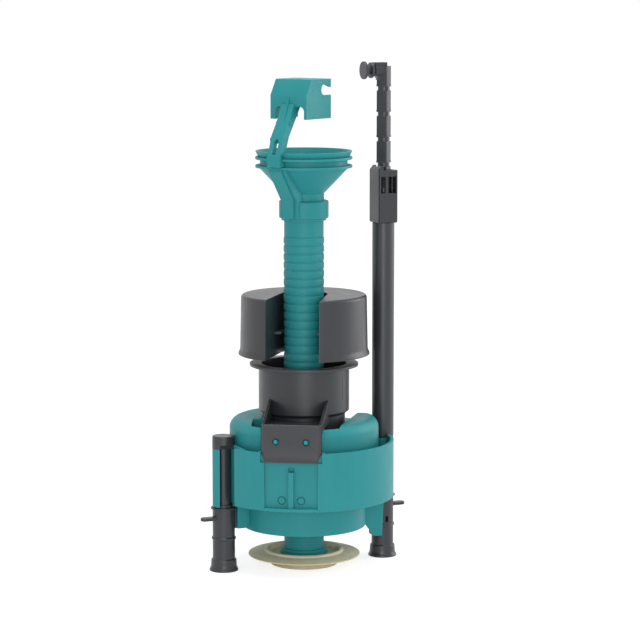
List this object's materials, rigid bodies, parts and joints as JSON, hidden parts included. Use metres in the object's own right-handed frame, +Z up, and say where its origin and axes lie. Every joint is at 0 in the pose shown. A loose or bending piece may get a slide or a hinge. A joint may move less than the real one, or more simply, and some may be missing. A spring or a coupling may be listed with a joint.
{
  "type": "toilet flush valve",
  "caption": "Cistern flush valve with a lifting overflow tube, rubber seal, adjustable float bell, funnel with lift hook, round body on sleeve feet and a telescopic half-flush rod.",
  "frame": {"origin": "on the axis of the overflow tube, at the level of the seal ring and the feet", "axes": "+Z up along the overflow tube, X through both feet with the half-flush rod on +X, -Y roughly towards the bracket side"},
  "size_m": [0.1242, 0.1014, 0.2821],
  "materials": {
    "teal_plastic": "moulded polypropylene, fine satin",
    "grey_plastic": "moulded acetal, dark grey satin",
    "seal_rubber": "moulded silicone rubber, matt"
  },
  "bodies": {
    "valve_body": {"left_spindle": "grey_plastic", "carrier_band": "teal_plastic", "lower_housing": "teal_plastic", "float_chamber": "teal_plastic", "guide_cup": "grey_plastic"},
    "left_sleeve": {"left_foot": "grey_plastic"},
    "right_sleeve": {"right_foot": "grey_plastic"},
    "valve_tube": {"overflow_tube": "teal_plastic", "funnel": "teal_plastic", "lock_ring": "teal_plastic", "lift_hook": "teal_plastic", "seal": "seal_rubber", "seal_retainer": "grey_plastic", "main_float": "grey_plastic"},
    "float": {"volume_float": "grey_plastic", "float_clip": "grey_plastic"},
    "half_rod": {"lift_tube": "grey_plastic", "lift_fork": "grey_plastic", "clip_housing": "grey_plastic"},
    "rod_extension": {"notched_rod": "grey_plastic", "rod_spool": "grey_plastic"}
  },
  "joints": [
    {"name": "valve_lift", "type": "slide", "parent": "valve_body", "child": "valve_tube", "axis": [0, 0, 1], "range_m": [0, 0.012]},
    {"name": "half_flush_lift", "type": "slide", "parent": "valve_body", "child": "half_rod", "axis": [0, 0, 1], "range_m": [0, 0.012]},
    {"name": "float_adjust", "type": "slide", "parent": "valve_tube", "child": "float", "axis": [0, 0, 1], "range_m": [-0.0046, 0.0373]},
    {"name": "rod_adjust", "type": "slide", "parent": "half_rod", "child": "rod_extension", "axis": [0, 0, 1], "range_m": [-0.0284, 0.0142]},
    {"name": "left_sleeve_turn", "type": "hinge", "parent": "valve_body", "child": "left_sleeve", "pos_m": [-0.0485, 0, 0.02], "axis": [0, 0, 1], "range_deg": [-45, 45]},
    {"name": "right_sleeve_turn", "type": "hinge", "parent": "valve_body", "child": "right_sleeve", "pos_m": [0.0485, 0, 0.02], "axis": [0, 0, 1], "range_deg": [-45, 45]}
  ],
  "couplings": [
    {"joint": "half_flush_lift", "follows": "valve_lift", "ratio": 1}
  ]
}
